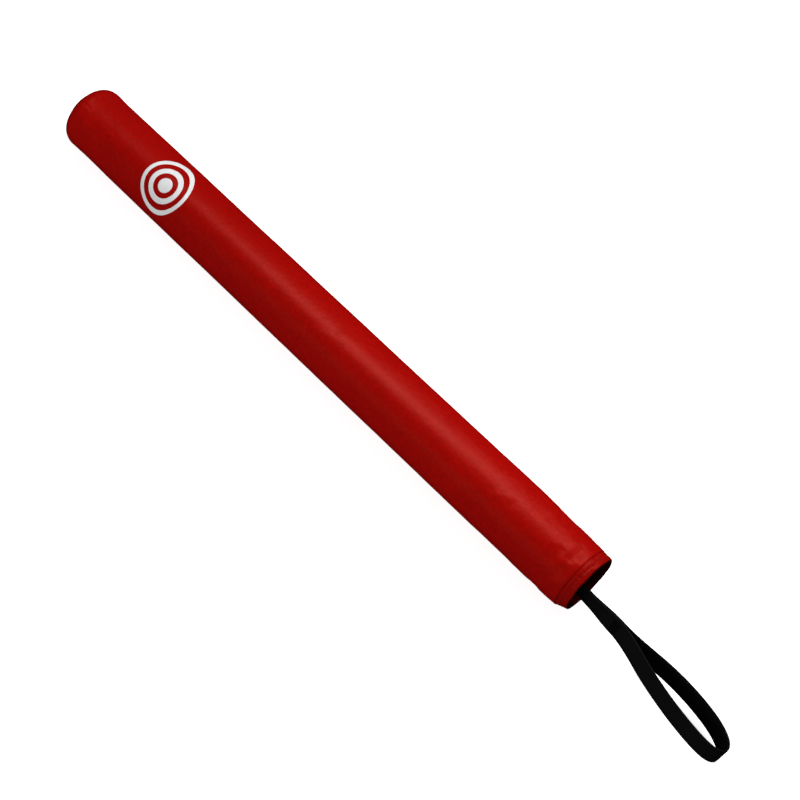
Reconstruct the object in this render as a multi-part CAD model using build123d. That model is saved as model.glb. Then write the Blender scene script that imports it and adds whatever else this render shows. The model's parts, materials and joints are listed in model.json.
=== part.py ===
"""Boxing precision stick: a padded striking stick with a webbing wrist loop.

The stick lies on its side along X, tip at -X and open end at +X. The origin is the middle of
the stick's length, on the surface that it lies on. The strap leaves the open end and runs on
along +X. Millimetres, +Z up.
"""
from build123d import *
import os
from math import atan2, cos, degrees, radians, sin, sqrt, tan

# ---- Driving dimensions ----
stick_length = 610.0
stick_radius = 28.5
axis_height = 27.9  # under the radius, because the foam flattens a little where the stick lies
cover_thickness = 1.2
dome_depth = 18.5  # the rounded tip, past the straight side
shoulder_radius = 13.0  # the dome's corner; the tip panel is sewn on inside it
taper_length = 70.0  # the padding thins out before the hem
taper_end_radius = 27.35
hem_length = 9.0  # the band past the end of the foam
hem_thickness = 2.4  # turned in, so twice the cover's thickness
hem_radius = 27.0
rim_radius = 25.9
thread_width = 0.6
thread_depth = 0.4
hem_stitch_inset = 4.5  # from the rim back to the hem's line of stitches

tube_radius = 16.0
tube_bore_radius = 14.0
tube_inset = 6.0  # from the end of the foam back to the end of the tube
tip_foam_thickness = 20.8
cap_wall = 2.0
cap_skirt = 12.0

mark_x = -178.0
mark_elevation = 50.0  # degrees up from -Y, round the stick
mark_rings = [(23.5, 20.0), (15.5, 11.0), (6.5, 0.0)]  # outer and inner radius of each ring
mark_thickness = 0.2
seam_elevation = -10.0  # degrees up from +Y, round the stick

webbing_width = 20.0
webbing_thickness = 1.4
strap_pitch = 4.9  # degrees that the strap slopes down, from the pin to the loop's end
pin_radius = 2.5
pin_depth = 47.0  # from the mouth back to the pin, along the strap
pin_head_radius = 4.5
pin_head_thickness = 1.4
nut_thickness = 1.2
plug_length = 38.0
plug_inset = 2.0
slot_clearance = 0.4
hinge_gap = 0.3

# ---- Places along the strap: distance past the mouth, and distance towards +Y ----
strap_side = -5.6
swing_at = 3.5
parting_at = 42.0  # where the two legs part and the loop begins
loop_route = [
    (57.0, -9.8),
    (73.0, -14.9),
    (91.0, -19.3),
    (111.0, -22.9),
    (131.0, -24.9),
    (147.0, -24.9),
    (156.3, -21.5),
    (158.3, -15.0),
    (152.3, -7.8),
    (139.0, -2.4),
    (121.0, 0.3),
    (102.0, 1.0),
    (84.0, -0.1),
    (68.0, -2.5),
    (54.0, -4.4),
]

# ---- Worked-out places ----
tip_x = -stick_length / 2
mouth_x = stick_length / 2
shoulder_x = tip_x + dome_depth
foam_end_x = mouth_x - hem_length
taper_x = foam_end_x - taper_length
shoulder_height = stick_radius - shoulder_radius
crown_radius = (dome_depth**2 + shoulder_height**2 - shoulder_radius**2) / (
    2 * (dome_depth - shoulder_radius)
)
crown_x = tip_x + crown_radius
joint_angle = degrees(atan2(crown_x - shoulder_x, shoulder_height))  # from the stick's side
foam_joint_x = tip_x + cover_thickness + tip_foam_thickness
tube_start_x = foam_joint_x + cap_wall
pin_x = mouth_x - pin_depth * cos(radians(strap_pitch))
doubled = 2 * webbing_thickness
barrel_radius = doubled / 2

on_axis = Pos(0, 0, axis_height)

# The strap's own frame: its X runs along the strap and its Z across the webbing's width.
pin_frame = Pos(pin_x, 0, axis_height) * Rot(0, strap_pitch, 0)
strap_frame = pin_frame * Pos(pin_depth, 0, 0)


# ---- Shapes that are used more than once ----
def off_shoulder(angle, inset):
    """A point of the dome's corner, at an angle up from +X, in the plane of the outline."""
    radius = shoulder_radius - inset
    return (
        shoulder_x + radius * cos(radians(angle)),
        shoulder_height + radius * sin(radians(angle)),
    )


def off_crown(angle, inset):
    """A point of the dome's broad middle, at an angle up from +X, in the same plane."""
    radius = crown_radius - inset
    return crown_x + radius * cos(radians(angle)), radius * sin(radians(angle))


def bar(start, end, radius, low=0.0):
    """A round bar about the stick's axis, from start to end, or a tube if low is its bore."""
    shape = Pos((start + end) / 2, 0, 0) * Rot(0, 90, 0) * Cylinder(radius, end - start)
    if low:
        shape -= Pos((start + end) / 2, 0, 0) * Rot(0, 90, 0) * Cylinder(low, end - start + 2)
    return on_axis * shape


def padded_form(inset):
    """The stick's outer form, or the form that lies inside the cover by inset."""
    shoulder_start = (shoulder_x, stick_radius - inset)
    shoulder_middle = off_shoulder(90 + joint_angle / 2, inset)
    joint = off_shoulder(90 + joint_angle, inset)
    crown_middle = off_crown(90 + (90 + joint_angle) / 2, inset)
    apex = (tip_x + inset, 0)
    outline = [
        ThreePointArc(shoulder_start, shoulder_middle, joint),
        ThreePointArc(joint, crown_middle, apex),
        Polyline(
            shoulder_start,
            (taper_x, stick_radius - inset),
            (foam_end_x, taper_end_radius - inset),
            (foam_end_x, 0),
            apex,
        ),
    ]
    form = on_axis * revolve(make_face(outline), Axis.X)
    return form - Pos(0, 0, inset - 50) * Box(2 * stick_length, 200, 100)


def slab(start, end):
    """A block that holds whatever lies between two places along the stick."""
    return Pos((start + end) / 2, 0, 0) * Box(end - start, 200, 200)


def cross_cylinder(radius, start, end):
    """A cylinder along Y, on the pin's line."""
    turned = Rot(90, 0, 0) * Cylinder(radius, end - start)
    return Pos(pin_x, (start + end) / 2, axis_height) * turned


def thin_layer(depth):
    """The outermost layer of the stick's straight side, for what lies flush in the cover."""
    return bar(shoulder_x, taper_x, stick_radius, stick_radius - depth)


# ---- Cover ----
def make_mark():
    """Printed rings round a disc, flush with the cover's surface."""
    facing = Pos(mark_x, 0, axis_height) * Rot(90 - mark_elevation, 0, 0) * Pos(0, 0, stick_radius)
    layer = thin_layer(mark_thickness)
    prints = []
    for outer, inner in mark_rings:
        ring = Cylinder(outer, 20)
        if inner:
            ring -= Cylinder(inner, 22)
        prints.append(ring)
    solids = []
    for shape in prints:
        solids += (layer & (facing * shape)).solids()
    return Compound(children=solids)


def make_seam_stitching():
    """The line of thread that closes the sleeve along its back."""
    start, end = shoulder_x + 3, taper_x - 3
    line = Pos((start + end) / 2, stick_radius, 0) * Box(end - start, 10, thread_width)
    return thin_layer(thread_depth) & (on_axis * Rot(seam_elevation, 0, 0) * line)


def make_hem():
    """The turned-in band round the open end: two layers thick, with a round fold at its rim."""
    fold = hem_thickness / 2
    profile = make_face(
        [
            Polyline(
                (mouth_x - fold, rim_radius - hem_thickness),
                (foam_end_x, hem_radius - hem_thickness),
                (foam_end_x, hem_radius),
                (mouth_x - fold, rim_radius),
            ),
            ThreePointArc(
                (mouth_x - fold, rim_radius),
                (mouth_x, rim_radius - fold),
                (mouth_x - fold, rim_radius - hem_thickness),
            ),
        ]
    )
    return on_axis * revolve(profile, Axis.X)


def make_hem_stitching(hem):
    """The ring of thread round the hem."""
    middle = mouth_x - hem_stitch_inset
    ring = bar(middle - thread_width / 2, middle + thread_width / 2, hem_radius, rim_radius)
    return hem & ring


def make_seam_cone():
    """Everything inside the tip seam, which is cut square to the cover."""
    reach = 2 * crown_radius
    corner = (crown_x - reach * sin(radians(joint_angle)), reach * cos(radians(joint_angle)))
    outline = Polyline((crown_x, 0), corner, (corner[0], 0), (crown_x, 0))
    return on_axis * revolve(make_face(outline), Axis.X)


mark = make_mark()
seam_stitching = make_seam_stitching()
outer_form = padded_form(0)
inner_form = padded_form(cover_thickness)
seam_cone = make_seam_cone()
cover = outer_form - inner_form
cover_tip = cover & seam_cone
cover_sleeve = cover - seam_cone - mark - seam_stitching
whole_hem = make_hem()
hem_stitching = make_hem_stitching(whole_hem)
cover_hem = whole_hem - hem_stitching

# ---- Core ----
tube_end_x = foam_end_x - tube_inset
plug_end_x = tube_end_x - plug_inset
through_hole = cross_cylinder(pin_radius, -stick_radius, stick_radius)

core_tube = bar(tube_start_x, tube_end_x, tube_radius, tube_bore_radius) - through_hole
tube_tip_cap = bar(foam_joint_x, tube_start_x + cap_skirt, tube_radius + cap_wall)
tube_tip_cap -= bar(tube_start_x, tube_start_x + 2 * cap_skirt, tube_radius)

tip_foam = inner_form & slab(tip_x, foam_joint_x)
foam_sleeve = (inner_form & slab(foam_joint_x, foam_end_x)) - bar(
    foam_joint_x - 1, tube_start_x + cap_skirt, tube_radius + cap_wall
)
foam_sleeve -= bar(tube_start_x, foam_end_x + 1, tube_radius)
pin_room = tube_radius + pin_head_thickness + 1
foam_sleeve -= cross_cylinder(pin_head_radius + 0.5, -pin_room, pin_room)

# ---- Strap ----
tails_yaw = degrees(atan2(strap_side, pin_depth + swing_at))
tails_reach = sqrt((pin_depth + swing_at) ** 2 + strap_side**2) - barrel_radius - hinge_gap
tails_behind = 8.0
tails_frame = pin_frame * Rot(0, 0, tails_yaw)


def ribbon(start, end, thickness, width):
    """A straight length of webbing along X, standing on its edge."""
    return Pos((start + end) / 2, 0, 0) * Box(end - start, thickness, width)


strap_tails = tails_frame * ribbon(-tails_behind, tails_reach, doubled, webbing_width)
strap_tails -= through_hole

slot = tails_frame * ribbon(
    -plug_length, plug_length, doubled + 2 * slot_clearance, webbing_width + 2 * slot_clearance
)
strap_plug = bar(plug_end_x - plug_length, plug_end_x, tube_bore_radius) - slot - through_hole

cross_pin = cross_cylinder(pin_radius, -tube_radius, tube_radius + nut_thickness + 0.6)
cross_pin += cross_cylinder(pin_head_radius, -tube_radius - pin_head_thickness, -tube_radius)
push_nut = cross_cylinder(pin_head_radius, tube_radius, tube_radius + nut_thickness)
push_nut -= through_hole

# The neck: both legs together, with a round end on the swing's axis.
neck_end = parting_at - barrel_radius - hinge_gap
neck = ribbon(swing_at, neck_end, doubled, webbing_width)
neck += Pos(swing_at, 0, 0) * Cylinder(barrel_radius, webbing_width)
strap_neck = strap_frame * Pos(0, strap_side, 0) * neck

# The bar tack: a pad of close stitches on each face of the neck's outer end.
tack_length, tack_width, tack_thickness = 7.0, 16.0, 0.35
tack_middle = neck_end - 1.0 - tack_length / 2
tacks = []
for side in (-1, 1):
    across = strap_side + side * (barrel_radius + tack_thickness / 2)
    tack = Pos(tack_middle, across, 0) * Box(tack_length, tack_thickness, tack_width)
    tacks.append(strap_frame * tack)
strap_bartack = Compound(children=tacks)


def corner_radius(before, corner, after):
    """The largest tangent arc that the two runs at a corner of the route leave room for."""
    first = Vector(*corner) - Vector(*before)
    second = Vector(*after) - Vector(*corner)
    half_turn = radians(first.get_angle(second)) / 2
    return 0.45 * min(first.length, second.length) / tan(half_turn)


# The loop: one leg out, round, and back, both from a round root on the loop's own axis.
leg_offset = webbing_thickness / 2
near_root = (parting_at, strap_side - leg_offset)
far_root = (parting_at, strap_side + leg_offset)
loop_points = [near_root] + loop_route + [far_root]
loop_radii = [corner_radius(*loop_points[i : i + 3]) for i in range(len(loop_points) - 2)]
loop_path = FilletPolyline(*loop_points, radius=loop_radii)
start_frame = Plane(loop_path @ 0, x_dir=(0, 0, 1), z_dir=loop_path % 0)
loop_section = start_frame * Rectangle(webbing_width, webbing_thickness)
loop = sweep(loop_section, path=loop_path)
loop += Pos(parting_at, strap_side, 0) * Cylinder(barrel_radius, webbing_width)
wrist_loop = strap_frame * loop

print("loop corner radii, mm:", [round(r, 1) for r in loop_radii])
print("loop length, mm:", round(loop_path.length, 1))
print("loop volume against section times length:", round(loop.volume), "mm3,",
      round(loop_path.length * webbing_width * webbing_thickness), "mm3")
for name, place in (("swing", swing_at), ("parting", parting_at)):
    point = (strap_frame * Pos(place, strap_side, 0)).position
    print(name, "axis passes through, mm:", [round(c, 3) for c in point])
print("strap axis direction:", [round(c, 5) for c in (strap_frame * Pos(0, 0, 1)).position
                                - strap_frame.position])

# ---- One STEP file for each piece ----
nodes = {
    "cover_sleeve": cover_sleeve,
    "cover_tip": cover_tip,
    "cover_hem": cover_hem,
    "hem_stitching": hem_stitching,
    "seam_stitching": seam_stitching,
    "printed_mark": mark,
    "foam_sleeve": foam_sleeve,
    "tip_foam": tip_foam,
    "core_tube": core_tube,
    "tube_tip_cap": tube_tip_cap,
    "strap_plug": strap_plug,
    "cross_pin": cross_pin,
    "push_nut": push_nut,
    "strap_tails": strap_tails,
    "strap_neck": strap_neck,
    "strap_bartack": strap_bartack,
    "wrist_loop": wrist_loop,
}
os.makedirs("parts", exist_ok=True)
for name, shape in nodes.items():
    export_step(shape, f"parts/{name}.step")
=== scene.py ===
"""Looks of the boxing precision stick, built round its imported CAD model.

The stick lies along X with its rounded tip at -X. Its cover, hem, stitching, print, foam and
webbing are modelled here; the tube, caps, plug and pin stay the CAD's. Metres, +Z up.
"""
import json
import math

import bpy
import numpy as np
from mathutils import Matrix, Vector, noise


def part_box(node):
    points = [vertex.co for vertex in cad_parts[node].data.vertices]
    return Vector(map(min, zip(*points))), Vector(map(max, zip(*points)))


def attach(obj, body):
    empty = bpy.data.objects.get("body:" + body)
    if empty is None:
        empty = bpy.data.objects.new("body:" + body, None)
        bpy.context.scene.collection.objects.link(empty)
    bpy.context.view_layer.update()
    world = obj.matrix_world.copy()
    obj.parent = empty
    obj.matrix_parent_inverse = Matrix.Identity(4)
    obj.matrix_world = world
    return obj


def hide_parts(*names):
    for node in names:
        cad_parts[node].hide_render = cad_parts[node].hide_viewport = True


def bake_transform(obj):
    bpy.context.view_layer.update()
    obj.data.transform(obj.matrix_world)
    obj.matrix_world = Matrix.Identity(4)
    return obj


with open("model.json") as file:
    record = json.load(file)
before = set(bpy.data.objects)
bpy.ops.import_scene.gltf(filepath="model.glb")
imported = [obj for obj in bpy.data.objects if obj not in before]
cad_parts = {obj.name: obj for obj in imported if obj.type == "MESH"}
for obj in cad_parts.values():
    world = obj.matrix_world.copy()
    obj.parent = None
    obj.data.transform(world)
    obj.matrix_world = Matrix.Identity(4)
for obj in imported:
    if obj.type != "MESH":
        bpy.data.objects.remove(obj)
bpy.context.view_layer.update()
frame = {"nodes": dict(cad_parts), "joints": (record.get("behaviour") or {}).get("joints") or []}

MM = 0.001

# ---- Places, from the frame ----
sleeve_low, sleeve_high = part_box("cover_sleeve")
hem_low, hem_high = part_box("cover_hem")
mark_low, mark_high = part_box("printed_mark")
foam_low, foam_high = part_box("foam_sleeve")
tube_low, tube_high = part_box("core_tube")
joints = {joint["name"]: joint for joint in frame["joints"]}

RADIUS = (sleeve_high[1] - sleeve_low[1]) / 2
AXIS_Z = sleeve_high[2] - RADIUS
TIP_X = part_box("cover_tip")[0][0]
TIP_FOAM_END_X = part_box("tip_foam")[1][0]
HEM_X = hem_low[0]
MOUTH_X = hem_high[0]
TUBE_RADIUS = (tube_high[1] - tube_low[1]) / 2

# ---- The cover's sizes: the CAD model's, apart from three that are set to the photo ----
COVER = 1.2 * MM
DOME_DEPTH = 18.5 * MM
SHOULDER = 13.0 * MM  # the radius of the dome's corner
TAPER = 73.0 * MM  # 3 mm longer than the CAD's
TAPER_END_RADIUS = 26.95 * MM  # 0.4 mm under the CAD's
RIM_RADIUS = 25.9 * MM
HEM_THICKNESS = 2.3 * MM  # 0.1 mm under the CAD's
SHOULDER_X = TIP_X + DOME_DEPTH
CROWN = (DOME_DEPTH**2 + (RADIUS - SHOULDER) ** 2 - SHOULDER**2) / (2 * (DOME_DEPTH - SHOULDER))
JOINT_ANGLE = math.atan2(TIP_X + CROWN - SHOULDER_X, RADIUS - SHOULDER)
AROUND = 192  # segments round the stick
SEAM_ANGLE = math.radians(-10)  # round the stick, from +Y towards +Z
MARK_ANGLE = math.radians(130)
MARK_X = (mark_low[0] + mark_high[0]) / 2
MARK_RINGS = [(23.5 * MM, 20.0 * MM), (15.5 * MM, 11.0 * MM), (6.5 * MM, 0.0)]
BACK_ANGLE = math.radians(40)  # the side that the hem is pulled towards
STITCH = 4.2 * MM  # from one stitch to the next
STITCH_ROW = 3.0 * MM  # from the back seam up to its row of stitches
TIP_SEAM = (2.2 * MM, 1.0 * MM)  # how far each side of the tip's seam is pulled in, and how deep
WORN_REACH = 2.5 * MM  # how far from a sewn edge the leather is worn
PADDING = 0.3 * MM  # how far the padding holds the cover out past its plain form
HEM_STITCH_X = MOUTH_X - 4.5 * MM
HEM_OVERLAP = 1.0 * MM  # how far the hem reaches in under the sleeve's end
HEM_SINK = 0.62 * MM  # how far it starts below the sleeve's skin
HEM_CURVE = 1.25  # above 1, the hem draws in mostly near its rim
RIM_LEAN = 0.8 * MM  # how far the mouth is pulled off centre
THREAD = 0.32 * MM  # the thread's radius

# The cloth simulation: its grid, its frames, and the most that it may move the cover.
CLOTH_ALONG = 118
CLOTH_AROUND = 90
CLOTH_FRAMES = 24
SWELL_CAP = 0.42 * MM  # at the sewn ends
SWELL_MIDDLE = 0.3  # the share of the cap that is left along the middle
SWELL_REACH = 28 * MM  # how far from the ends the full cap goes

# Each layer of unevenness: its height, the length of its waves, its noise's seed, and the share
# of X that it follows. A small share draws the waves out along the stick.
WAVES = {
    "slow": (0.16 * MM, 70 * MM, 3.0, 1.0),
    "ripple": (0.10 * MM, 18 * MM, 11.0, 1.0),
    "hem_gather": (0.42 * MM, 5.5 * MM, 21.0, 0.35),
    "tip_gather": (0.22 * MM, 4.5 * MM, 31.0, 0.3),
    "panel_gather": (0.22 * MM, 4.5 * MM, 41.0, 0.0),
    "panel_wave": (0.15 * MM, 14 * MM, 47.0, 1.0),
    "rim_wave": (0.5 * MM, 17 * MM, 51.0, 0.0),
    "hem_pucker": (0.38 * MM, 3.6 * MM, 57.0, 0.25),
    "rim_edge": (0.8 * MM, 14 * MM, 61.0, 0.0),
    "hem_wave": (0.35 * MM, 8 * MM, 67.0, 0.6),
    "foam_cells": (0.3 * MM, 2.2 * MM, 71.0, 1.0),
}


# ---- Mesh helpers ----
def new_object(name, points, faces):
    """A smooth-shaded mesh object, in the scene."""
    mesh = bpy.data.meshes.new(name)
    mesh.from_pydata([tuple(map(float, p)) for p in points], [], faces)
    mesh.polygons.foreach_set("use_smooth", [True] * len(mesh.polygons))
    mesh.update()
    made = bpy.data.objects.new(name, mesh)
    bpy.context.scene.collection.objects.link(made)
    return made


def add_attribute(piece, name, values):
    """One value for each point of a piece, for its material to read."""
    attribute = piece.data.attributes.new(name, "FLOAT", "POINT")
    attribute.data.foreach_set("value", np.asarray(values, np.float32).ravel())


def ring_faces(rings, around, closed=False, start=0):
    """Quads between rings of points; closed joins the last ring back to the first."""
    faces = []
    for i in range(rings if closed else rings - 1):
        here, there = start + i * around, start + (i + 1) % rings * around
        for j in range(around):
            k = (j + 1) % around
            faces.append((here + j, here + k, there + k, there + j))
    return faces


def rod_faces(rings, sides, start=0):
    """Faces of a closed bar: quads between its rings, and a flat face over each end."""
    end = start + (rings - 1) * sides
    caps = [tuple(range(start, start + sides))[::-1], tuple(range(end, end + sides))]
    return ring_faces(rings, sides, start=start) + caps


def domed_faces(rings, around):
    """Faces of a closed form whose points are its rings and then a pole for each end."""
    faces = [face[::-1] for face in ring_faces(rings, around)]
    pole, last = rings * around, (rings - 1) * around
    for j in range(around):
        k = (j + 1) % around
        faces.append((pole, k, j))
        faces.append((pole + 1, last + j, last + k))
    return faces


def full_turn(around):
    """Evenly spaced angles, once round."""
    return np.arange(around) * 2 * math.pi / around


def smoothstep(t):
    """A smooth rise from 0 to 1 as t goes from 0 to 1."""
    t = np.clip(t, 0, 1)
    return t * t * (3 - 2 * t)


def bell(distance, reach, height=1.0):
    """A smooth bump or dip: its height at no distance, fading to nothing either way."""
    return height * np.exp(-((distance / reach) ** 2))


def fading(distance, reach):
    """1 at an edge, falling off steadily away from it."""
    return np.exp(-distance / reach)


def waves(layer, x, angle):
    """How far one of the layers in WAVES lifts the stick's surface, for arrays of places."""
    height, length, seed, share = WAVES[layer]
    y, z = np.cos(angle) * RADIUS, np.sin(angle) * RADIUS
    spots = zip(np.ravel(share * x) / length, np.ravel(y) / length, np.ravel(z) / length)
    heights = [noise.noise(Vector(spot) + Vector((seed, 0, 0))) for spot in spots]
    return height * np.array(heights).reshape(x.shape)


def around_axis(x, r, angle):
    """Points at radius r about the stick's axis, flattened where the stick lies."""
    y = r * np.cos(angle)
    z = AXIS_Z + r * np.sin(angle)
    soft = 0.2 * MM  # how gradually the flat begins
    z = 0.5 * (z + np.sqrt(z * z + soft * soft))
    return np.stack([x + 0 * y, y, z], -1)


# ---- Shape of the cover ----
def outline(x, angle):
    """The stick's radius past the dome's shoulder. Its top back thins out before the hem."""
    taper = smoothstep((x - (HEM_X - TAPER)) / TAPER)
    lean = 0.45
    share = 1 - lean + lean * np.cos(angle - BACK_ANGLE)
    return RADIUS - (RADIUS - TAPER_END_RADIUS) * taper * share


def seam_distance(angle):
    """How far round the surface a place is from the back seam, positive upwards."""
    turn = (angle - SEAM_ANGLE + math.pi) % (2 * math.pi) - math.pi
    return turn * RADIUS


def relief(x, angle):
    """How far the sleeve's skin stands off its plain outline."""
    off = seam_distance(angle)
    lap_height, lap_width, lap_fade, step = 0.6 * MM, 16 * MM, 13 * MM, 1.2 * MM
    lap = smoothstep((off + step / 2) / step) * smoothstep((lap_width - off) / lap_fade)
    row = bell(off - STITCH_ROW, 1.3 * MM, 0.4 * MM)
    pulls = 0.7 + 0.3 * np.cos(2 * math.pi * x / STITCH)
    hem_near = fading(np.clip(HEM_X - x, 0, None), 13 * MM)
    tip_near = fading(np.clip(x - (SHOULDER_X - SHOULDER), 0, None), 6 * MM)
    gathers = hem_near * waves("hem_gather", x, angle) + tip_near * waves("tip_gather", x, angle)
    uneven = waves("slow", x, angle) + waves("ripple", x, angle)
    return lap_height * lap - row * pulls + uneven + gathers


def sleeve_rings():
    """Places and radii of the sleeve's rings, from the tip seam to the hem, without the taper."""
    places = []
    round_steps = 16
    for step in range(round_steps + 1):
        turn = math.pi / 2 + JOINT_ANGLE * (1 - step / round_steps)
        x = SHOULDER_X + SHOULDER * math.cos(turn)
        places.append((x, RADIUS - SHOULDER + SHOULDER * math.sin(turn)))
    plain_end = HEM_X - TAPER
    for start, end, count in ((SHOULDER_X, plain_end, 170), (plain_end, HEM_X, 46)):
        for step in range(1, count + 1):
            places.append((start + (end - start) * step / count, RADIUS))
    return np.array(places)


def simulated_swell(rings, run):
    """How the padding swells the sleeve between its seams, from a cloth simulation.

    The sleeve is a tube of cloth, sewn fast along its two ends and its back seam, and cut a
    little large. Pressure stands for the foam. Returns distances out from the plain form, on an
    even grid along and around the sleeve.
    """
    along, around = CLOTH_ALONG, CLOTH_AROUND
    spots = np.linspace(0, run[-1], along)
    x = np.interp(spots, run, rings[:, 0])
    r = np.interp(spots, run, rings[:, 1])
    angle = SEAM_ANGLE + full_turn(around)
    turn = np.repeat(angle[None], along, 0)
    y = r[:, None] * np.cos(turn)
    z = AXIS_Z + r[:, None] * np.sin(turn)
    start = np.stack([x[:, None] + 0 * turn, y, z], -1)
    cloth = new_object("cloth_sleeve", start.reshape(-1, 3), ring_faces(along, around))
    sewn = cloth.vertex_groups.new(name="sewn")
    held = list(range(around)) + list(range((along - 1) * around, along * around))
    held += [row * around for row in range(along)]
    sewn.add(sorted(set(held)), 1.0, "REPLACE")
    modifier = cloth.modifiers.new("cloth", "CLOTH")
    settings = modifier.settings
    settings.quality = 6
    settings.mass = 0.25
    settings.tension_stiffness = settings.compression_stiffness = 12
    settings.shear_stiffness = 4
    settings.bending_stiffness = 1.0
    settings.vertex_group_mass = "sewn"
    settings.shrink_min = -0.014
    settings.use_pressure = True
    settings.uniform_pressure_force = 3.0
    settings.effector_weights.gravity = 0
    modifier.collision_settings.use_collision = False
    modifier.point_cache.frame_start = 1
    modifier.point_cache.frame_end = CLOTH_FRAMES
    for frame_number in range(1, CLOTH_FRAMES + 1):
        bpy.context.scene.frame_set(frame_number)
    solved = cloth.evaluated_get(bpy.context.evaluated_depsgraph_get()).data
    end = np.empty(along * around * 3)
    solved.vertices.foreach_get("co", end)
    end = end.reshape(along, around, 3)
    bpy.context.scene.frame_set(1)
    bpy.data.objects.remove(cloth)
    out = np.stack([0 * turn, np.cos(turn), np.sin(turn)], -1)
    swell = ((end - start) * out).sum(-1)
    near_ends = 8
    swell -= swell[near_ends:-near_ends].mean()
    # Away from the sewn ends the foam holds the cloth straight.
    from_end = np.minimum(spots, spots[-1] - spots)[:, None]
    cap = SWELL_CAP * (SWELL_MIDDLE + bell(from_end, SWELL_REACH, 1 - SWELL_MIDDLE))
    return spots, angle, cap * np.tanh(swell / cap)


def on_grid(spots, angle, values, run, fine):
    """Values from the simulation's grid at other places along and around, by straight blends."""
    around = len(angle)
    step = 2 * math.pi / around
    place = ((fine - angle[0]) % (2 * math.pi)) / step
    low = np.floor(place).astype(int) % around
    part = place - np.floor(place)
    columns = values[:, low] * (1 - part) + values[:, (low + 1) % around] * part
    return np.stack([np.interp(run, spots, column) for column in columns.T], 1)


def make_sleeve():
    """The cover's long tube: its outer skin, and a plainer inner one a cover's thickness below."""
    rings = sleeve_rings()
    run = np.concatenate([[0], np.cumsum(np.hypot(*np.diff(rings, axis=0).T))])
    angle = full_turn(AROUND)
    x = np.repeat(rings[:, :1], AROUND, 1)
    turn = np.repeat(angle[None], len(rings), 0)
    spots, grid_angle, swell = simulated_swell(rings, run)
    bump = PADDING + relief(x, turn) + on_grid(spots, grid_angle, swell, run, angle)
    from_hem = run[-1] - run
    bump -= bell(run, *TIP_SEAM)[:, None]
    bump -= bell(from_hem, 6.0 * MM, 0.55 * MM)[:, None]
    bump += outline(x, turn) - RADIUS
    # The bump stands off the surface, so round the shoulder it also moves along X.
    tangent = np.gradient(rings, run, axis=0)
    out_x, out_r = -tangent[:, 1:], tangent[:, :1]
    outer = around_axis(x + out_x * bump, rings[:, 1:] + out_r * bump, turn)
    keep = list(range(0, len(rings), 9)) + [len(rings) - 1]  # the inner skin's rings
    deep = bump[keep] - COVER
    inner = around_axis(
        x[keep] + out_x[keep] * deep, rings[keep, 1:] + out_r[keep] * deep, turn[keep]
    )
    inner[..., 2] = np.maximum(inner[..., 2], 1.0 * MM)  # above the flat that the stick lies on
    points = np.concatenate([outer, inner[::-1]]).reshape(-1, 3)
    piece = new_object("cover_skin", points, ring_faces(len(rings) + len(keep), AROUND, True))
    worn = bell(seam_distance(turn), 0.9 * MM)
    worn = worn + 0.3 * fading(from_hem, WORN_REACH)[:, None]
    worn = worn + 0.6 * fading(run, WORN_REACH)[:, None]
    worn = np.concatenate([worn, 0 * worn[keep]])
    add_attribute(piece, "wear", np.clip(worn, 0, 1))
    return piece


def make_tip():
    """The domed panel, a spherical crown whose sewn edge is pulled in."""
    rows = 26
    centre = TIP_X + CROWN
    half = math.pi / 2 - JOINT_ANGLE
    angle = full_turn(AROUND)
    outer, inner, worn = [], [], []
    for row in range(1, rows + 1):
        polar = half * row / rows
        rim_gap = CROWN * (half - polar)
        bump = fading(rim_gap, 5 * MM) * waves("panel_gather", 0 * angle, angle)
        bump = bump + waves("panel_wave", 0 * angle + polar * CROWN, angle)
        bump = bump - bell(rim_gap, *TIP_SEAM)
        for store, deep in ((outer, 0), (inner, COVER)):
            reach = CROWN + bump - deep
            x = centre - reach * math.cos(polar)
            store.append(around_axis(x, reach * math.sin(polar), angle))
        worn.append(np.full(AROUND, 0.7 * fading(rim_gap, WORN_REACH)))
    poles = [(TIP_X, 0, AXIS_Z), (TIP_X + COVER, 0, AXIS_Z)]
    skins = [np.reshape(outer, (-1, 3)), np.reshape(inner[::-1], (-1, 3))]
    piece = new_object("tip_panel", np.concatenate(skins + [poles]), domed_faces(2 * rows, AROUND))
    plain = np.zeros(rows * AROUND + len(poles))
    add_attribute(piece, "wear", np.concatenate([np.ravel(worn), plain]))
    return piece


def hem_section():
    """The hem's outline: places along X, shares of the way to the rim, and depths under it."""
    fold = HEM_THICKNESS / 2
    start, end = HEM_X - HEM_OVERLAP, MOUTH_X - fold
    outer_steps, fold_steps, inner_steps = 30, 9, 18
    points = []
    for step in range(outer_steps + 1):
        share = step / outer_steps
        points.append((start + (end - start) * share, share, 0.0))
    for step in range(1, fold_steps):
        turn = math.pi / 2 - math.pi * step / fold_steps
        points.append((end + fold * math.cos(turn), 1.0, fold - fold * math.sin(turn)))
    back = end - HEM_X - 0.2 * MM
    for step in range(inner_steps + 1):
        points.append((end - back * step / inner_steps, 1.0, HEM_THICKNESS))
    return np.array(points)


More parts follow.
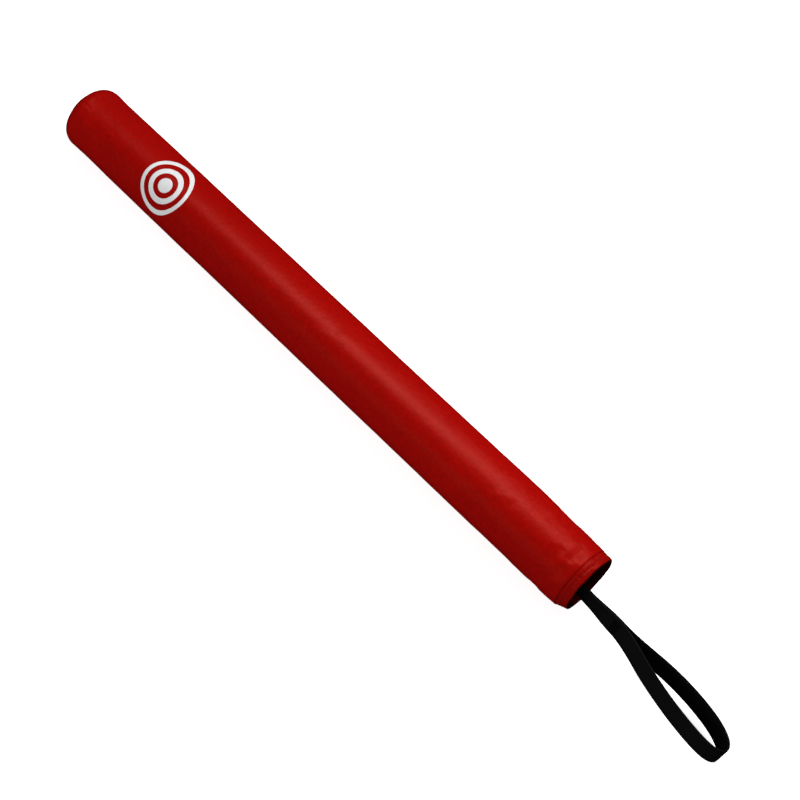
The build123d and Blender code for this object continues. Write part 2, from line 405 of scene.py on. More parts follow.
def make_hem():
    """The turned-in band, drawn in from the sleeve's end to the rim, and a little uneven."""
    section = hem_section()
    angle = full_turn(AROUND)
    turn = np.repeat(angle[None], len(section), 0)
    x, share, depth = (section[:, i : i + 1] + 0 * turn for i in range(3))
    outer = depth == 0
    sleeve_end = outline(HEM_X, turn) + PADDING - HEM_SINK
    rim = RIM_RADIUS + RIM_LEAN * np.cos(turn - BACK_ANGLE) + waves("rim_wave", x, turn)
    r = sleeve_end + (rim - sleeve_end) * np.where(outer, share**HEM_CURVE, 1.0)
    r = r - bell(x - HEM_X + HEM_OVERLAP, 1.3 * MM, 0.12 * MM) * outer
    r = r - bell(x - HEM_STITCH_X, 0.9 * MM, 0.4 * MM) * outer
    r = r + waves("hem_pucker", x, turn) * np.where(outer, 1.0, 0.5)
    r = r + waves("hem_wave", x, turn) * np.sin(math.pi * share) * outer
    lap = 4 * MM  # where the hem's own ends overlap, beside the back seam
    r = r + bell(seam_distance(angle)[None] - lap, lap, 0.45 * MM) - depth
    x = x + waves("rim_edge", x, turn) * share**2
    points = around_axis(x, r, turn).reshape(-1, 3)
    piece = new_object("hem_band", points, ring_faces(len(section), AROUND, True))
    worn = bell(x - MOUTH_X, 1.6 * MM, 0.6) + bell(x - HEM_STITCH_X, 0.8 * MM, 0.5) * outer
    add_attribute(piece, "wear", np.clip(worn, 0, 1))
    # Painted shade: the hem's inner face is marked here so that its colour is darkened, as the
    # shade inside the mouth.
    add_attribute(piece, "inside", smoothstep(depth / (0.7 * HEM_THICKNESS)))
    return piece


# ---- Stitching ----
def stitches(name, spots):
    """One mesh of single stitches. Each spot is a middle, a direction and an outward normal."""
    sides, rows = 8, 9
    length = 0.78 * STITCH  # the rest is the hole between two stitches
    points, faces = [], []
    for middle, along, out in spots:
        across = along.cross(out).normalized()
        start = len(points)
        for row in range(rows):
            t = row / (rows - 1)
            lift = THREAD * (0.55 - 1.9 * (2 * t - 1) ** 4)
            centre = middle + along * (t - 0.5) * length + out * lift
            girth = THREAD * (1 - 0.35 * (2 * t - 1) ** 6)
            for side in range(sides):
                turn = 2 * math.pi * side / sides
                points.append(centre + (across * math.cos(turn) + out * math.sin(turn)) * girth)
        faces += rod_faces(rows, sides, start)
    return new_object(name, points, faces)


def surface_point(piece, x, angle):
    """The point of a piece's skin straight out from the stick's axis, and its normal."""
    centre = Vector((x, 0, AXIS_Z))
    out = Vector((0, math.cos(angle), math.sin(angle)))
    hit, place, normal, _ = piece.ray_cast(centre + out * 2 * RADIUS, -out)
    if not hit:
        raise RuntimeError(f"no surface of {piece.name} at {x:.4f}")
    return place, normal


def along_surface(direction, normal):
    """A direction, laid flat on the surface that has this normal."""
    return (direction - normal * direction.dot(normal)).normalized()


def make_hem_stitches(hem):
    """A ring of stitches round the hem."""
    count = round(2 * math.pi * RIM_RADIUS / STITCH)
    spots = []
    for i in range(count):
        angle = 2 * math.pi * (i + 0.5) / count
        place, normal = surface_point(hem, HEM_STITCH_X, angle)
        round_it = Vector((0, -math.sin(angle), math.cos(angle)))
        spots.append((place, along_surface(round_it, normal), normal))
    return stitches("hem_stitches", spots)


def make_seam_stitches(sleeve):
    """The row of stitches beside the back seam."""
    start, end = SHOULDER_X - 2 * MM, HEM_X - 6 * MM
    count = round((end - start) / STITCH)
    angle = SEAM_ANGLE + STITCH_ROW / RADIUS
    spots = []
    for i in range(count):
        x = start + (end - start) * (i + 0.5) / count
        place, normal = surface_point(sleeve, x, angle)
        spots.append((place, along_surface(Vector((1, 0, 0)), normal), normal))
    return stitches("seam_stitches", spots)


# ---- Print ----
def printed_disc(sleeve, outer, inner, rings):
    """A round patch of thin film on the cover, or a ring if it has an inner radius."""
    film = 0.05 * MM  # how far it stands off the cover; its back lies inside the cover
    sides = max(24, round(outer / (0.14 * MM)))
    rows = []
    for lift in (film, -4 * film):
        radii = np.linspace(outer, inner, rings)
        for r in radii if lift > 0 else radii[::-1]:
            for side in range(sides):
                turn = 2 * math.pi * side / sides
                along = r * math.cos(turn)
                angle = MARK_ANGLE + math.asin(r * math.sin(turn) / RADIUS)
                place, normal = surface_point(sleeve, MARK_X + along, angle)
                rows.append(place + normal * lift)
    if inner:
        return rows, ring_faces(2 * rings, sides, True)
    # Without a hole, the innermost ring of each side shrinks to one point.
    front, back = rows[: rings * sides], rows[rings * sides :]
    points = front[: (rings - 1) * sides] + back[sides:]
    faces = ring_faces(rings - 1, sides)
    start = (rings - 1) * sides
    faces += ring_faces(rings - 1, sides, start=start)
    last = start + (rings - 2) * sides
    faces += [(last + j, last + (j + 1) % sides, (j + 1) % sides, j) for j in range(sides)]
    poles = (len(points), len(points) + 1)
    points += [front[-sides], back[0]]
    for j in range(sides):
        k = (j + 1) % sides
        faces.append((start - sides + j, start - sides + k, poles[0]))
        faces.append((start + k, start + j, poles[1]))
    return points, faces


def make_mark(sleeve):
    """Plain rings round a disc, printed on the cover."""
    points, faces = [], []
    for outer, inner in MARK_RINGS:
        more, new_faces = printed_disc(sleeve, outer, inner, 8)
        faces += [tuple(len(points) + i for i in face) for face in new_faces]
        points += more
    return new_object("printed_mark_film", points, faces)


# ---- Foam ----
FOAM_GAP = 1.0 * MM  # from the cover's inner skin to the foam
FOAM_FLOOR = 1.6 * MM  # the foam's lowest point, above the flat that the stick lies on


def make_foam():
    """The foam sleeve: a cut end that shows in the mouth, and a plain run under the cover."""
    low, high = foam_low[0], foam_high[0] - 0.2 * MM
    around = 96
    bore = TUBE_RADIUS + 0.1 * MM
    cap_bore, cap_end = bore + 2.2 * MM, low + 14.5 * MM  # the room for the tube's cap
    corner = 1.5 * MM
    long_steps, corner_steps, face_steps = 60, 4, 7
    section = [(low, cap_bore)]
    for step in range(long_steps):
        x = low + (high - low) * step / long_steps
        section.append((x, float(outline(x, BACK_ANGLE)) - COVER - FOAM_GAP))
    reach = float(outline(high, BACK_ANGLE)) - COVER - FOAM_GAP - 0.6 * MM
    centre_x, centre_r = high - corner, reach - corner
    for step in range(corner_steps + 1):
        turn = math.pi / 2 * (1 - step / corner_steps)
        section.append((centre_x + corner * math.cos(turn), centre_r + corner * math.sin(turn)))
    for step in range(1, face_steps + 1):
        section.append((high, centre_r + (bore - centre_r) * step / face_steps))
    section += [(high - 6 * MM, bore), (cap_end, bore), (cap_end, cap_bore)]
    section = np.array(section)
    turn = np.repeat(full_turn(around)[None], len(section), 0)
    x, r = section[:, :1] + 0 * turn, section[:, 1:] + 0 * turn
    cells = waves("foam_cells", x, turn) * (x > high - 0.3 * MM)
    points = around_axis(x + cells, r, turn)
    points[..., 2] = np.maximum(points[..., 2], FOAM_FLOOR)
    return new_object("foam_roll", points.reshape(-1, 3), ring_faces(len(section), around, True))


def make_tip_foam():
    """The pad under the tip, domed to fill it."""
    rows, around, round_steps = 22, 96, 8
    flat = TIP_FOAM_END_X - 0.2 * MM
    centre = TIP_X + CROWN
    deep = COVER + 1.2 * MM
    reach, small = CROWN - deep, SHOULDER - deep
    section = []
    for row in range(1, rows + 1):
        polar = (math.pi / 2 - JOINT_ANGLE) * row / rows
        section.append((centre - reach * math.cos(polar), reach * math.sin(polar)))
    for step in range(1, round_steps + 1):
        turn = math.pi / 2 + JOINT_ANGLE * (1 - step / round_steps)
        x = SHOULDER_X + small * math.cos(turn)
        section.append((x, RADIUS - SHOULDER + small * math.sin(turn)))
    wide, bevel = section[-1][1], 1 * MM
    section += [(flat - bevel, wide), (flat, wide - bevel), (flat, wide / 2)]
    section = np.array(section)
    turn = np.repeat(full_turn(around)[None], len(section), 0)
    points = around_axis(section[:, :1] + 0 * turn, section[:, 1:] + 0 * turn, turn)
    points[..., 2] = np.maximum(points[..., 2], FOAM_FLOOR)
    poles = [(centre - reach, 0, AXIS_Z), (flat, 0, AXIS_Z)]
    points = np.concatenate([points.reshape(-1, 3), poles])
    return new_object("tip_foam_pad", points, domed_faces(len(section), around))


# ---- Webbing ----
swing, fold = joints["strap_swing"], joints["loop_fold"]
STRAP_UP = Vector(swing["axis"]).normalized()  # across the webbing's width
STRAP_RUN = Vector((STRAP_UP.z, 0, -STRAP_UP.x))  # along the strap, down its slope
SWING_AT = 3.5 * MM  # the swing's axis, past the mouth
STRAP_SIDE = swing["pos_m"][1]
MOUTH_POINT = Vector(swing["pos_m"]) - STRAP_RUN * SWING_AT - Vector((0, STRAP_SIDE, 0))
WEBBING_WIDTH = 20.0 * MM
WEBBING = 1.4 * MM
YARNS = 12  # columns of yarn across the webbing
YARN_STEP = 1.9 * MM  # from one crown of a yarn to the next
YARN_HEIGHT = 0.16 * MM
LEGS_MEET = 36.0 * MM  # the neck's webbing ends and the loop's begins here, under the bar tack

# The loop's route: distance past the mouth and distance towards +Y, out and back.
LOOP_ROUTE = [
    (0.0360, -0.0063),
    (0.0420, -0.0063),
    (0.0570, -0.0098),
    (0.0730, -0.0149),
    (0.0910, -0.0193),
    (0.1110, -0.0229),
    (0.1310, -0.0249),
    (0.1470, -0.0249),
    (0.1563, -0.0215),
    (0.1583, -0.0150),
    (0.1523, -0.0078),
    (0.1390, -0.0024),
    (0.1210, 0.0003),
    (0.1020, 0.0010),
    (0.0840, -0.0001),
    (0.0680, -0.0025),
    (0.0540, -0.0044),
    (0.0420, -0.0049),
    (0.0360, -0.0049),
]
# The neck's route, from behind the pin to the bar tack.
NECK_ROUTE = [
    (-0.0540, 0.0008),
    (-0.0300, -0.0019),
    (-0.0080, -0.0043),
    (0.0040, -0.0058),
    (0.0180, -0.0055),
    (0.0360, -0.0056),
]


def strap_point(along, side):
    """A point in the middle of the webbing's width, from places along and beside the strap."""
    return MOUTH_POINT + STRAP_RUN * along + Vector((0, side, 0))


def smooth_line(name, route, detail):
    """The points of the smooth spline that has the route's points as its control points."""
    curve = bpy.data.curves.new(name, "CURVE")
    curve.dimensions = "3D"
    spline = curve.splines.new("NURBS")
    spline.points.add(len(route) - 1)
    for point, (along, side) in zip(spline.points, route):
        point.co = (*strap_point(along, side), 1.0)
    spline.order_u = 3
    spline.use_endpoint_u = True
    curve.resolution_u = detail
    holder = bpy.data.objects.new(name, curve)
    mesh = bpy.data.meshes.new_from_object(holder)
    line = [v.co.copy() for v in mesh.vertices]
    bpy.data.objects.remove(holder)
    bpy.data.curves.remove(curve)
    bpy.data.meshes.remove(mesh)
    return line


def weave(along, column):
    """The height of the yarns' crowns: each column's are half a step on from its neighbour's."""
    phase = 2 * math.pi * along / YARN_STEP + math.pi * np.floor(column)
    across = np.sin(math.pi * (column % 1.0)) ** 0.8
    return across * (0.55 + 0.45 * np.cos(phase))


def webbing(name, layers):
    """Strips of woven webbing as one mesh. Each layer is its line and its width directions."""
    half = WEBBING_WIDTH / 2
    even = np.linspace(-1, 1, YARNS * 5 + 1)
    v = 0.3 * np.sin(even * math.pi / 2) + 0.7 * even  # across the width, closer at the edges
    body = (1 - np.abs(v) ** 7) ** (1 / 2.4)  # the thickness, rounding off at the edges
    column = (v + 1) / 2 * YARNS
    points, faces, alongs, acrosses = [], [], [], []
    for line, ups in layers:
        line = np.array(line, float)
        steps = np.linalg.norm(np.diff(line, axis=0), axis=1)
        run = np.concatenate([[0], np.cumsum(steps)])
        tangent = np.gradient(line, run, axis=0)
        tangent /= np.linalg.norm(tangent, axis=1)[:, None]
        ups = np.array(ups, float)
        out = np.cross(tangent, ups)
        out /= np.linalg.norm(out, axis=1)[:, None]
        start = len(points)
        core = WEBBING / 2 - 0.14 * MM  # under the yarns' crowns
        for k in range(len(line)):
            front = body * (core + YARN_HEIGHT * weave(run[k], column))
            back = body * (core + YARN_HEIGHT * weave(run[k] + YARN_STEP / 2, column))
            base = line[k][None] + ups[k][None] * (v * half)[:, None]
            there = base + out[k][None] * front[:, None]
            behind = base - out[k][None] * back[:, None]
            points.extend(np.concatenate([there, behind[-2:0:-1]]))
            acrosses.extend(np.concatenate([v, v[-2:0:-1]]) * half)
        size = len(v) * 2 - 2
        alongs.extend(np.repeat(run, size))
        faces += [face[::-1] for face in rod_faces(len(line), size, start)]
    piece = new_object(name, points, faces)
    add_attribute(piece, "along", alongs)
    add_attribute(piece, "across", acrosses)
    return piece


def lean(point):
    """The webbing's width direction: the doubled neck twists a little towards the front."""
    most = math.radians(13)
    along = (point - MOUTH_POINT).dot(STRAP_RUN)
    rise = float(smoothstep((along + 18 * MM) / (20 * MM)))
    fall = float(smoothstep((LEGS_MEET - along) / (30 * MM)))
    return Matrix.Rotation(most * rise * fall, 3, STRAP_RUN) @ STRAP_UP


def make_neck():
    """The strap's two legs side by side, from behind the pin to the bar tack."""
    line = smooth_line("neck_line", NECK_ROUTE, 44)
    layers = []
    for side in (-1, 1):
        ups = [lean(p) for p in line]
        moved = []
        for p, up in zip(line, ups):
            beside = up.cross(STRAP_RUN).normalized()
            moved.append(p + beside * side * WEBBING / 2)
        layers.append((moved, ups))
    return webbing("strap_neck_webbing", layers)


def make_loop():
    """The one strip that goes out and back, and the line that it follows."""
    line = smooth_line("loop_line", LOOP_ROUTE, 34)
    piece = webbing("wrist_loop_webbing", [(line, [STRAP_UP] * len(line))])
    return piece, line


def thread_along(line, radius, sides=6):
    """Points and faces of a thread: a round tube along a line of points."""
    points = []
    count = len(line)
    for k, p in enumerate(line):
        ahead = (line[min(k + 1, count - 1)] - line[max(k - 1, 0)]).normalized()
        first = ahead.orthogonal().normalized()
        second = ahead.cross(first)
        for side in range(sides):
            turn = 2 * math.pi * side / sides
            points.append(p + (first * math.cos(turn) + second * math.sin(turn)) * radius)
    return points, rod_faces(count, sides)


def make_bar_tack():
    """Close zigzag rows of thread on both faces of the neck's outer end."""
    passes, wide, long = 15, 15.5 * MM, 6.6 * MM
    thread = 0.24 * MM
    face_off = WEBBING + 0.10 * MM
    points, faces = [], []
    for side in (-1, 1):
        line = []
        for i in range(passes + 1):
            row = LEGS_MEET - long / 2 + long * i / passes
            edge = wide / 2 * (1 if i % 2 else -1)
            for t in np.linspace(-0.94, 0.94, 9):
                swell = 0.12 * MM * (1 - abs(t) ** 3)
                along = row + long / passes * (t - 1) / 2
                spot = strap_point(along, STRAP_SIDE + side * (face_off + swell))
                line.append(spot + STRAP_UP * (edge * t))
        start = len(points)
        more, new_faces = thread_along(line, thread)
        points += more
        faces += [tuple(start + i for i in face) for face in new_faces]
    return new_object("bar_tack", points, faces)


# ---- Materials ----
def new_material(name):
    """A new material, its node tree and its shader."""
    material = bpy.data.materials.new(name)
    material.use_nodes = True
    tree = material.node_tree
    shader = tree.nodes["Principled BSDF"]
    return material, tree, shader


def add(tree, kind, **settings):
    """A new node. Each setting is one of its properties, or else one of its input sockets."""
    node = tree.nodes.new(kind)
    for key, value in settings.items():
        if hasattr(node, key):
            setattr(node, key, value)
        else:
            node.inputs[key.replace("_", " ")].default_value = value
    return node


def link(tree, source, target):
    tree.links.new(source, target)


def ramp(tree, source, stops):
    """Colours by a value from 0 to 1. Each stop is a place and a colour."""
    node = add(tree, "ShaderNodeValToRGB")
    elements = node.color_ramp.elements
    elements[0].position, elements[0].color = stops[0][0], (*stops[0][1], 1)
    elements[1].position, elements[1].color = stops[-1][0], (*stops[-1][1], 1)
    for place, colour in stops[1:-1]:
        element = elements.new(place)
        element.color = (*colour, 1)
    link(tree, source, node.inputs["Fac"])
    return node


def scaled(tree, source, low, high):
    """A value from 0 to 1, moved to between low and high."""
    node = add(tree, "ShaderNodeMapRange")
    node.inputs["To Min"].default_value = low
    node.inputs["To Max"].default_value = high
    link(tree, source, node.inputs["Value"])
    return node.outputs["Result"]


def object_place(tree):
    """Places in the piece's own space, in metres."""
    return add(tree, "ShaderNodeTexCoord").outputs["Object"]


def mapped(tree, place, setting, value):
    """Places turned or stretched: setting is Rotation or Scale."""
    node = add(tree, "ShaderNodeMapping")
    node.inputs[setting].default_value = value
    link(tree, place, node.inputs["Vector"])
    return node.outputs["Vector"]


def texture(tree, kind, scale, place, **settings):
    """A texture node. Its scale is in repeats for each metre."""
    node = add(tree, kind, **settings)
    node.inputs["Scale"].default_value = scale
    link(tree, place, node.inputs["Vector"])
    return node


def faded(colour, share):
    """A colour made darker, or brighter if the share is above 1."""
    return [c * share for c in colour]


def bumped(tree, shader, heights):
    """Chains bumps, each a height socket with its strength and its depth in metres."""
    last = None
    for height, strength, distance in heights:
        node = add(tree, "ShaderNodeBump")
        node.inputs["Strength"].default_value = strength
        node.inputs["Distance"].default_value = distance
        link(tree, height, node.inputs["Height"])
        if last is not None:
            link(tree, last.outputs["Normal"], node.inputs["Normal"])
        last = node
    link(tree, last.outputs["Normal"], shader.inputs["Normal"])


def mix_colour(tree, factor, first, second, blend="MIX"):
    """Two colours mixed. The factor and the colours are values or sockets."""
    node = add(tree, "ShaderNodeMix", data_type="RGBA", blend_type=blend)
    if hasattr(factor, "links"):
        link(tree, factor, node.inputs[0])
    else:
        node.inputs[0].default_value = factor
    for value, index in ((first, 6), (second, 7)):
        if hasattr(value, "links"):
            link(tree, value, node.inputs[index])
        else:
            node.inputs[index].default_value = (*value, 1)
    return node.outputs[2]


def red_leather(name, base, grain=1.0):
    """Smooth artificial leather: fine pebble grain, faint pores, slightly worn sewn edges, and
    painted shade on the hem's inner face.
    """
    material, tree, shader = new_material(name)
    place = object_place(tree)
    slow = texture(tree, "ShaderNodeTexNoise", 9.0, place, Detail=3.0, Roughness=0.6)
    fine = texture(tree, "ShaderNodeTexNoise", 260.0, place, Detail=4.0)
    pebble = texture(tree, "ShaderNodeTexVoronoi", 1150.0, place, feature="SMOOTH_F1")
    pebble.inputs["Smoothness"].default_value = 0.7
    pores = texture(tree, "ShaderNodeTexVoronoi", 620.0, place, feature="DISTANCE_TO_EDGE")
    wear = add(tree, "ShaderNodeAttribute", attribute_name="wear")
    tone = ramp(tree, slow.outputs["Fac"], [
        (0.30, faded(base, 0.90)),
        (0.55, base),
        (0.75, faded(base, 1.07)),
    ])
    worn = mix_colour(tree, scaled(tree, wear.outputs["Fac"], 0.0, 0.55), tone.outputs["Color"],
                      [base[0] * 0.62, base[1] * 0.6, base[2] * 0.8])
    mottle = texture(tree, "ShaderNodeTexNoise", 300.0, place, Detail=6.0, Roughness=0.75)
    spots = ramp(tree, mottle.outputs["Fac"], [(0.40, (0, 0, 0)), (0.60, (1, 1, 1))])
    colour = mix_colour(tree, scaled(tree, spots.outputs["Color"], 0.0, 0.34), worn,
                        faded(base, 0.5))
    # Painted shade: where marked inside, the hem's inner face is darkened to 0.15 of its base
    # colour, as the shade inside the mouth.
    inside = add(tree, "ShaderNodeAttribute", attribute_name="inside")
    colour = mix_colour(tree, inside.outputs["Fac"], colour, faded(base, 0.15))
    link(tree, colour, shader.inputs["Base Color"])
    rough = scaled(tree, fine.outputs["Fac"], 0.30, 0.42)
    link(tree, rough, shader.inputs["Roughness"])
    shader.inputs["Specular IOR Level"].default_value = 0.30
    shader.inputs["Specular Tint"].default_value = (1.0, 0.24, 0.18, 1)
    broad = texture(tree, "ShaderNodeTexNoise", 420.0, place, Detail=2.0)
    bumped(tree, shader, [
        (pebble.outputs["Distance"], 0.55 * grain, 0.00012),
        (pores.outputs["Distance"], 0.25 * grain, 0.00010),
        (broad.outputs["Fac"], 0.45 * grain, 0.00022),
        (fine.outputs["Fac"], 0.35 * grain, 0.00030),
    ])
    return material


def thread_material(name, colour, rough, gloss):
    """Twisted sewing thread: a fine slanting twist."""
    material, tree, shader = new_material(name)
    place = object_place(tree)
    turned = mapped(tree, place, "Rotation", (0.6, 0.5, 0.8))
    twist = texture(tree, "ShaderNodeTexWave", 900.0, turned, bands_direction="DIAGONAL")
    twist.inputs["Distortion"].default_value = 1.0
    shade = ramp(tree, twist.outputs["Fac"], [(0.2, faded(colour, 0.6)), (0.8, colour)])
    link(tree, shade.outputs["Color"], shader.inputs["Base Color"])
    shader.inputs["Roughness"].default_value = rough
    shader.inputs["Specular IOR Level"].default_value = gloss
    bumped(tree, shader, [(twist.outputs["Fac"], 0.5, 0.0001)])
    return material


def webbing_material(name, colour):
    """Woven webbing: fine fibres along it, and slightly faded patches."""
    material, tree, shader = new_material(name)
    along = add(tree, "ShaderNodeAttribute", attribute_name="along").outputs["Fac"]
    across = add(tree, "ShaderNodeAttribute", attribute_name="across").outputs["Fac"]
    flat = add(tree, "ShaderNodeCombineXYZ")
    link(tree, along, flat.inputs["X"])
    link(tree, across, flat.inputs["Y"])
    stretched = mapped(tree, flat.outputs["Vector"], "Scale", (1.0, 7.0, 1.0))
    fibres = texture(tree, "ShaderNodeTexNoise", 900.0, stretched, Detail=3.0)
    slow = texture(tree, "ShaderNodeTexNoise", 60.0, flat.outputs["Vector"], Detail=2.0)
    shade = ramp(tree, fibres.outputs["Fac"], [
        (0.34, faded(colour, 0.4)),
        (0.50, colour),
        (0.68, faded(colour, 2.4)),
    ])
    patchy = mix_colour(tree, scaled(tree, slow.outputs["Fac"], 0.0, 0.35),
                        shade.outputs["Color"], faded(colour, 1.5))
    link(tree, patchy, shader.inputs["Base Color"])
    link(tree, scaled(tree, fibres.outputs["Fac"], 0.46, 0.72), shader.inputs["Roughness"])
    shader.inputs["Specular IOR Level"].default_value = 0.30
    bumped(tree, shader, [(fibres.outputs["Fac"], 0.5, 0.00012)])
    return material


def print_material(name):
    """White screen print: slightly uneven ink with a few worn specks."""
    material, tree, shader = new_material(name)
    place = object_place(tree)
    grain = texture(tree, "ShaderNodeTexNoise", 700.0, place, Detail=4.0)
    cloud = texture(tree, "ShaderNodeTexNoise", 60.0, place, Detail=2.0)
    pebble = texture(tree, "ShaderNodeTexVoronoi", 1150.0, place, feature="SMOOTH_F1")
    tone = ramp(tree, cloud.outputs["Fac"], [(0.3, (0.66, 0.67, 0.68)), (0.7, (0.76, 0.76, 0.76))])
    specks = ramp(tree, grain.outputs["Fac"], [(0.24, (0.45, 0.30, 0.29)), (0.30, (1, 1, 1))])
    colour = mix_colour(tree, 0.5, tone.outputs["Color"], specks.outputs["Color"], "MULTIPLY")
    link(tree, colour, shader.inputs["Base Color"])
    link(tree, scaled(tree, grain.outputs["Fac"], 0.38, 0.55), shader.inputs["Roughness"])
    shader.inputs["Specular IOR Level"].default_value = 0.4
    bumped(tree, shader, [(pebble.outputs["Distance"], 0.3, 0.0001)])
    return material


def foam_material(name, colour):
    """Closed-cell foam: small round cells of two sizes."""
    material, tree, shader = new_material(name)
    place = object_place(tree)
    cells = texture(tree, "ShaderNodeTexVoronoi", 1400.0, place)
    big = texture(tree, "ShaderNodeTexVoronoi", 600.0, place)
    shade = ramp(tree, cells.outputs["Distance"], [(0.1, faded(colour, 0.4)), (0.6, colour)])
    link(tree, shade.outputs["Color"], shader.inputs["Base Color"])
    shader.inputs["Roughness"].default_value = 0.92
    shader.inputs["Specular IOR Level"].default_value = 0.2
    bumped(tree, shader, [
        (cells.outputs["Distance"], 0.8, 0.0003),
        (big.outputs["Distance"], 0.5, 0.0004),
    ])
    return material


def plastic_material(name, colour, scale, rough):
    """Moulded or drawn plastic: fine texture and faint flow streaks along the stick."""
    material, tree, shader = new_material(name)
    place = object_place(tree)
    drawn = mapped(tree, place, "Scale", (0.05, 1.0, 1.0))
    streaks = texture(tree, "ShaderNodeTexNoise", 900.0, drawn, Detail=2.0)
    grain = texture(tree, "ShaderNodeTexNoise", scale, place, Detail=3.0)
    shade = ramp(tree, streaks.outputs["Fac"], [(0.3, faded(colour, 0.8)), (0.7, colour)])
    link(tree, shade.outputs["Color"], shader.inputs["Base Color"])
    roughness = scaled(tree, grain.outputs["Fac"], rough - 0.08, rough + 0.1)
    link(tree, roughness, shader.inputs["Roughness"])
    bumped(tree, shader, [(grain.outputs["Fac"], 0.25, 0.0001)])
    return material


def plated_material(name):
    """Zinc-plated steel with turning marks."""
    material, tree, shader = new_material(name)
    place = object_place(tree)
    marks = mapped(tree, place, "Scale", (1.0, 0.1, 1.0))
    lines = texture(tree, "ShaderNodeTexNoise", 1500.0, marks, Detail=2.0)
    tone = ramp(tree, lines.outputs["Fac"], [(0.3, (0.48, 0.48, 0.45)), (0.7, (0.66, 0.66, 0.63))])
    link(tree, tone.outputs["Color"], shader.inputs["Base Color"])
    shader.inputs["Metallic"].default_value = 1.0
    link(tree, scaled(tree, lines.outputs["Fac"], 0.26, 0.44), shader.inputs["Roughness"])
    bumped(tree, shader, [(lines.outputs["Fac"], 0.2, 0.00005)])
    return material


def finish_piece(piece, material, body=None):
    piece.data.materials.clear()
    piece.data.materials.append(material)
    if body:
        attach(piece, body)


# ---- Build ----
red = red_leather("red_pu_leather", (0.33, 0.0014, 0.0004))
red_hem = red_leather("red_pu_leather_hem", (0.29, 0.0015, 0.0006), 1.3)
red_thread = thread_material("red_thread", (0.36, 0.008, 0.005), 0.6, 0.25)
black_thread = thread_material("black_thread", (0.0045, 0.0045, 0.005), 0.6, 0.15)
black_webbing = webbing_material("black_webbing", (0.0042, 0.0042, 0.0045))
white_print = print_material("white_print")
foam = foam_material("black_foam", (0.030, 0.030, 0.032))
tube_plastic = plastic_material("tube_plastic", (0.15, 0.155, 0.16), 500.0, 0.45)
black_plastic = plastic_material("black_plastic", (0.022, 0.022, 0.023), 900.0, 0.5)
plated = plated_material("plated_steel")

sleeve = make_sleeve()
tip = make_tip()
hem = make_hem()
hem_stitches = make_hem_stitches(hem)
seam_stitches = make_seam_stitches(sleeve)
rings = make_mark(sleeve)
foam_roll = make_foam()
tip_pad = make_tip_foam()
neck = make_neck()
loop, loop_line = make_loop()
tack = make_bar_tack()

finish_piece(sleeve, red, "stick")
finish_piece(tip, red, "stick")
finish_piece(hem, red_hem, "stick")
finish_piece(hem_stitches, red_thread, "stick")
finish_piece(seam_stitches, red_thread, "stick")
finish_piece(rings, white_print, "stick")
finish_piece(foam_roll, foam, "stick")
finish_piece(tip_pad, foam, "stick")
finish_piece(neck, black_webbing)
finish_piece(loop, black_webbing)
finish_piece(tack, black_thread, "neck")

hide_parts("cover_sleeve")
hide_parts("cover_tip")
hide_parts("cover_hem")
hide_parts("hem_stitching")
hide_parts("seam_stitching")
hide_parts("printed_mark")
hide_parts("foam_sleeve")
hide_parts("tip_foam")
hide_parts("strap_tails", "strap_neck")
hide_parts("wrist_loop")
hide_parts("strap_bartack")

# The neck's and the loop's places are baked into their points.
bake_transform(neck)
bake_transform(loop)

carried_materials = {
    "core_tube": tube_plastic,
    "tube_tip_cap": black_plastic,
    "strap_plug": black_plastic,
    "cross_pin": plated,
    "push_nut": plated,
}
for node, material in carried_materials.items():
    carried = frame["nodes"][node]
    for place in carried.material_slots:
        place.material = material

# ---- Floor, light and camera ----
WIDE = 30.0
FLOOR_Z = -0.2 * MM
square = ((-WIDE, -WIDE), (WIDE, -WIDE), (WIDE, WIDE), (-WIDE, WIDE))
floor = new_object("floor", [(x, y, FLOOR_Z) for x, y in square], [(0, 1, 2, 3)])
floor_material, _, floor_shader = new_material("studio_floor")
floor_shader.inputs["Base Color"].default_value = (0.60, 0.60, 0.60, 1)
floor_shader.inputs["Emission Color"].default_value = (1, 1, 1, 1)
floor_shader.inputs["Emission Strength"].default_value = 0.86
floor_shader.inputs["Roughness"].default_value = 0.9
floor_shader.inputs["Specular IOR Level"].default_value = 0.1
floor.data.materials.append(floor_material)
# The floor glows a little, to come out near white, and neither lights the stick nor is
# mirrored in it.
floor.visible_diffuse = False
floor.visible_glossy = False


def softbox(name, place, target, size, turn, power):
    """A rectangular light that faces its target, turned by degrees round its own beam."""
    data = bpy.data.lights.new(name, "AREA")
    data.shape = "RECTANGLE"
    data.size, data.size_y = size
    data.energy = power
    light = bpy.data.objects.new(name, data)
    light.location = place
    beam = (Vector(target) - Vector(place)).to_track_quat("-Z", "Y").to_matrix()
    light.rotation_euler = (beam @ Matrix.Rotation(math.radians(turn), 3, "Z")).to_euler()
    light.visible_camera = False
    bpy.context.scene.collection.objects.link(light)
    return light


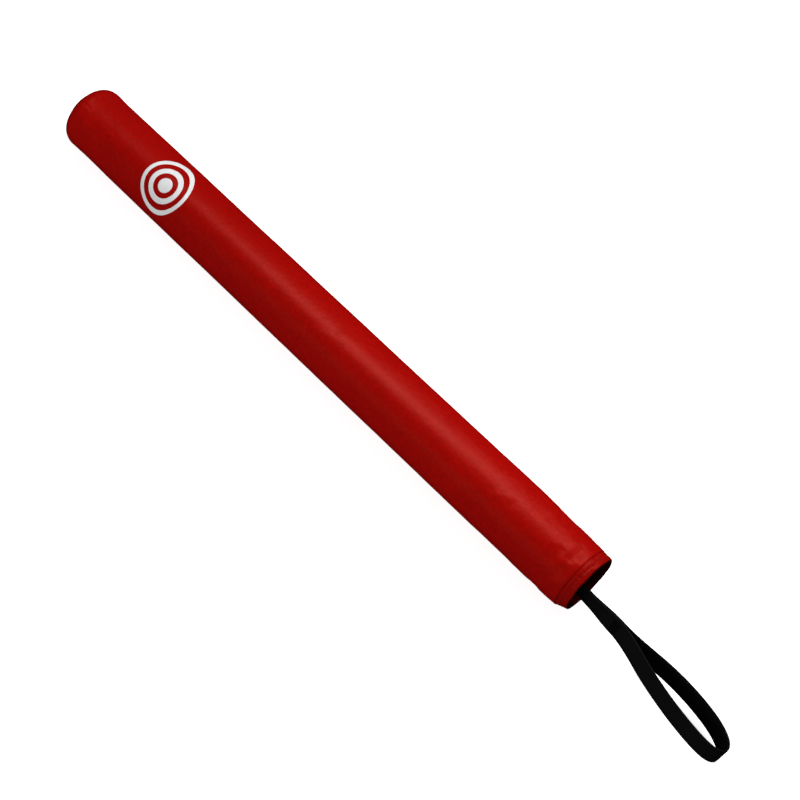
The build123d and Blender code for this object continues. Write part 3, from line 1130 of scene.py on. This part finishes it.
# The key and the fill light the stick without showing as highlights on it.
key = softbox("key", (0.16, 0.48, 0.95), (0.16, 0.0, 0.0), (0.7, 0.5), 0.0, 13.5)
key.visible_glossy = False
fill = softbox("fill", (-0.1, -1.6, 0.3), (-0.1, 0.0, 0.05), (1.6, 0.9), 0.0, 19.5)
fill.visible_glossy = False
# The strip makes the long soft highlight; it lies askew, so the highlight drifts to the back.
strip = softbox("strip", (-0.34, -0.05, 1.5), (-0.34, -0.05, 0.0), (1.14, 0.18), 44.0, 12)
strip.visible_diffuse = False

world = bpy.data.worlds.new("studio")
bpy.context.scene.world = world
world.use_nodes = True
world.node_tree.nodes["Background"].inputs["Color"].default_value = (1, 1, 1, 1)
world.node_tree.nodes["Background"].inputs["Strength"].default_value = 0.20
world.cycles_visibility.glossy = False  # only the strip is mirrored in the cover
bpy.context.scene.view_settings.view_transform = "Standard"

# The camera looks down at the stick from the mark's side, nearer to its open end, and is
# turned so that the stick runs down to the right.
FOCUS_X = MOUTH_X - 0.2126  # the place along the stick that the camera looks at
TILT = math.radians(18.0)  # how far the stick's open end leans towards the camera
RISE = math.radians(50.0)  # how far round the stick the camera stands, up from the front
ROLL = math.radians(43.28)  # how far the camera is turned about its own line of sight
LENS = 76.05  # millimetres, on a 36 mm sensor
DISTANCE = 1.3574
AIM_UP = 0.0041  # how far its aim passes over the stick's axis

back = Vector((math.sin(TILT), -math.cos(TILT) * math.cos(RISE), math.cos(TILT) * math.sin(RISE)))
level_right = (Vector((1, 0, 0)) - back * back.x).normalized()
level_up = back.cross(level_right)
right = level_right * math.cos(ROLL) + level_up * math.sin(ROLL)
up = level_up * math.cos(ROLL) - level_right * math.sin(ROLL)
lens_data = bpy.data.cameras.new("camera")
lens_data.lens = LENS
lens_data.sensor_width = 36.0
lens_data.clip_start, lens_data.clip_end = 0.05, 30.0
camera = bpy.data.objects.new("camera", lens_data)
place = Vector((FOCUS_X, 0, AXIS_Z)) + back * DISTANCE + level_up * AIM_UP
turned = Matrix((right, up, back)).transposed().to_4x4()
camera.matrix_world = Matrix.Translation(place) @ turned
bpy.context.scene.collection.objects.link(camera)
bpy.context.scene.camera = camera
